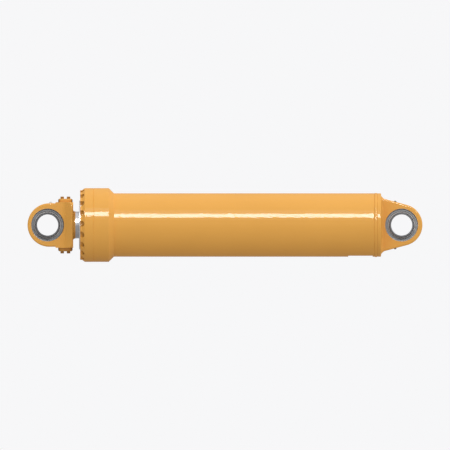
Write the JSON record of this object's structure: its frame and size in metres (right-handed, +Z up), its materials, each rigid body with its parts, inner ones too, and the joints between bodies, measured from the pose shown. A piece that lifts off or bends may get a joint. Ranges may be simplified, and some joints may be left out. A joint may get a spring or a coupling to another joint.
{
  "type": "hydraulic cylinder",
  "caption": "Double-acting welded hydraulic cylinder with a bolted gland, chrome rod and spherical bearing eyes at both ends.",
  "frame": {"origin": "centre of the cap eye's pin bore", "axes": "+X along the cylinder from the rod eye to the cap eye, +Y along both pins, +Z up; the oil port near the cap end faces -Z"},
  "size_m": [1.8684, 0.349, 0.349],
  "materials": {
    "machine_paint": "orange-yellow machine enamel, semi-gloss",
    "painted_screws": "steel screws painted over in place",
    "dark_fitting": "steel fitting, dark paint and grease",
    "zinc_fitting": "zinc-plated steel",
    "bare_steel": "turned steel plate",
    "bare_steel_screws": "steel countersunk screws",
    "rod_chrome": "hard chrome, ground and polished",
    "machined_steel": "machined steel",
    "dark_steel": "black oxide steel",
    "dark_bearing_steel": "phosphated bearing steel",
    "ground_bearing_steel": "ground bearing steel",
    "spring_steel": "spring steel",
    "seal_rubber": "nitrile rubber",
    "bearing_seal": "moulded seal, grey",
    "seal_plastic": "polyurethane or filled PTFE",
    "wiper_plastic": "polyurethane wiper",
    "guide_ring": "phenolic fabric guide strip"
  },
  "bodies": {
    "barrel": {"barrel_tube": "machine_paint", "barrel_flange": "machine_paint", "end_cap": "machine_paint", "end_cap_weld": "machine_paint", "cap_grease_fittings": "dark_fitting", "gland": "machine_paint", "gland_bolts": "painted_screws", "gland_o_ring": "seal_rubber", "gland_backup_ring": "seal_plastic", "seal_retainer": "bare_steel", "retainer_screws": "bare_steel_screws", "rod_wiper": "wiper_plastic", "rod_seal": "seal_plastic", "rod_buffer_seal": "seal_plastic", "rod_guide_rings": "guide_ring", "cap_bearing_outer_ring": "ground_bearing_steel", "cap_bearing_seals": "bearing_seal", "cap_snap_rings": "spring_steel"},
    "rod": {"piston_rod": "rod_chrome", "piston": "machined_steel", "piston_seal": "seal_plastic", "piston_seal_energiser": "seal_rubber", "piston_guide_rings": "guide_ring", "piston_o_ring": "seal_rubber", "piston_nut": "machined_steel", "piston_nut_lock_screw": "dark_steel", "rod_eye": "machine_paint", "upper_lock_plate": "machine_paint", "lower_lock_plate": "machine_paint", "lock_plate_screws": "painted_screws", "lock_pins": "machined_steel", "rod_grease_fitting": "zinc_fitting", "rod_bearing_outer_ring": "ground_bearing_steel", "rod_bearing_seals": "bearing_seal", "rod_snap_rings": "spring_steel"},
    "cap_ball": {"cap_bearing_inner_ring": "dark_bearing_steel"},
    "rod_ball": {"rod_bearing_inner_ring": "dark_bearing_steel"}
  },
  "joints": [
    {"name": "rod_slide", "type": "slide", "parent": "barrel", "child": "rod", "axis": [-1, 0, 0], "range_m": [0, 0.95]},
    {"name": "cap_bearing_swivel", "type": "hinge", "parent": "barrel", "child": "cap_ball", "pos_m": [0, 0, 0], "axis": [0, 1, 0], "continuous": true},
    {"name": "rod_bearing_swivel", "type": "hinge", "parent": "rod", "child": "rod_ball", "pos_m": [-1.675, 0, 0], "axis": [0, 1, 0], "continuous": true}
  ]
}
